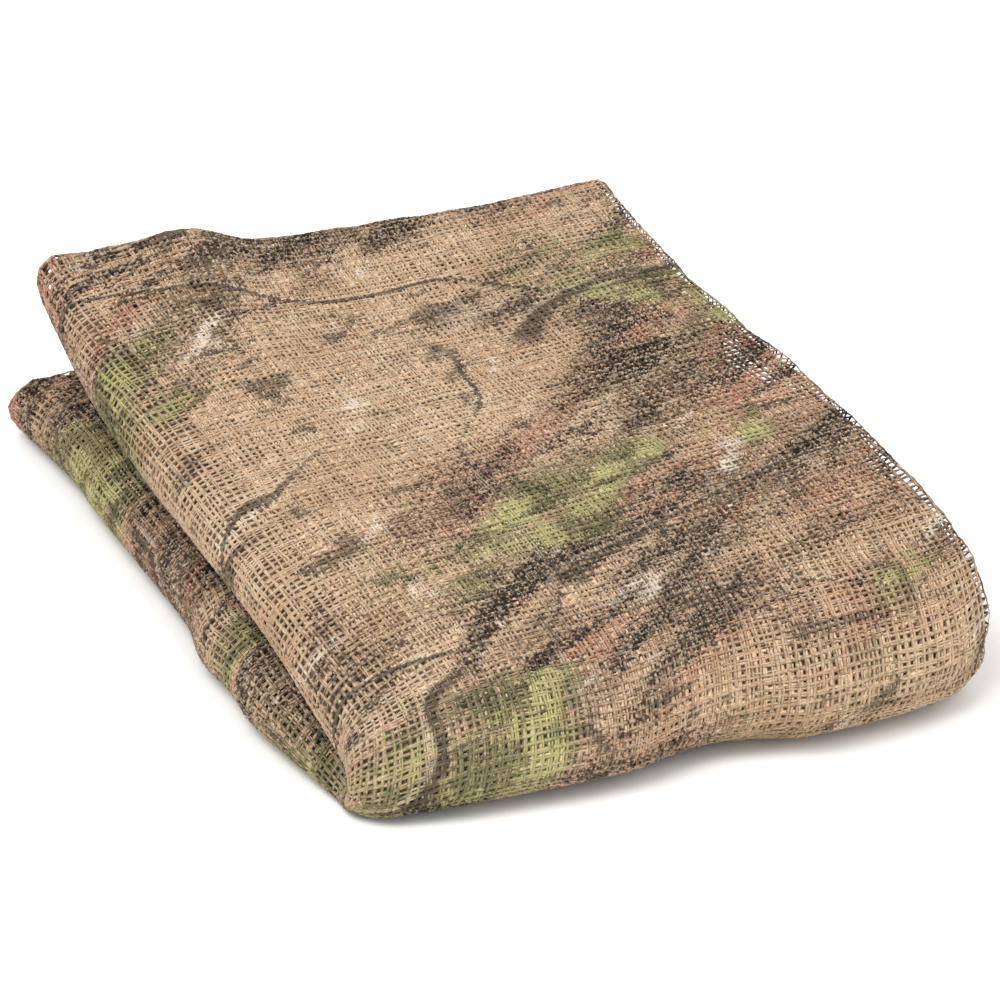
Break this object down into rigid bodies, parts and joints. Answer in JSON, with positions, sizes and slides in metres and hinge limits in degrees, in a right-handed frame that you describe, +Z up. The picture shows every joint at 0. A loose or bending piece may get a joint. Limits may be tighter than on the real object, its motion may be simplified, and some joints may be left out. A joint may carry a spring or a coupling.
{
  "type": "folded camouflage net",
  "caption": "Soft open-weave camouflage net, folded back and forth into a flat pack whose outer layer wraps the left edge, then doubled over at the front.",
  "frame": {"origin": "centre of the folded net's footprint, on the surface it lies on", "axes": "+Z up from the surface; -Y is the front, where the pack is doubled over; -X is the closed folded edge; the layers' ends are at +Y and the open edge is at +X"},
  "size_m": [0.24, 0.3038, 0.0704],
  "materials": {
    "net": "soft open plain weave of uneven cotton yarn, tan with a printed camouflage of browns, greys and leaf green"
  },
  "bodies": {
    "root": {"net": "net"}
  },
  "joints": []
}
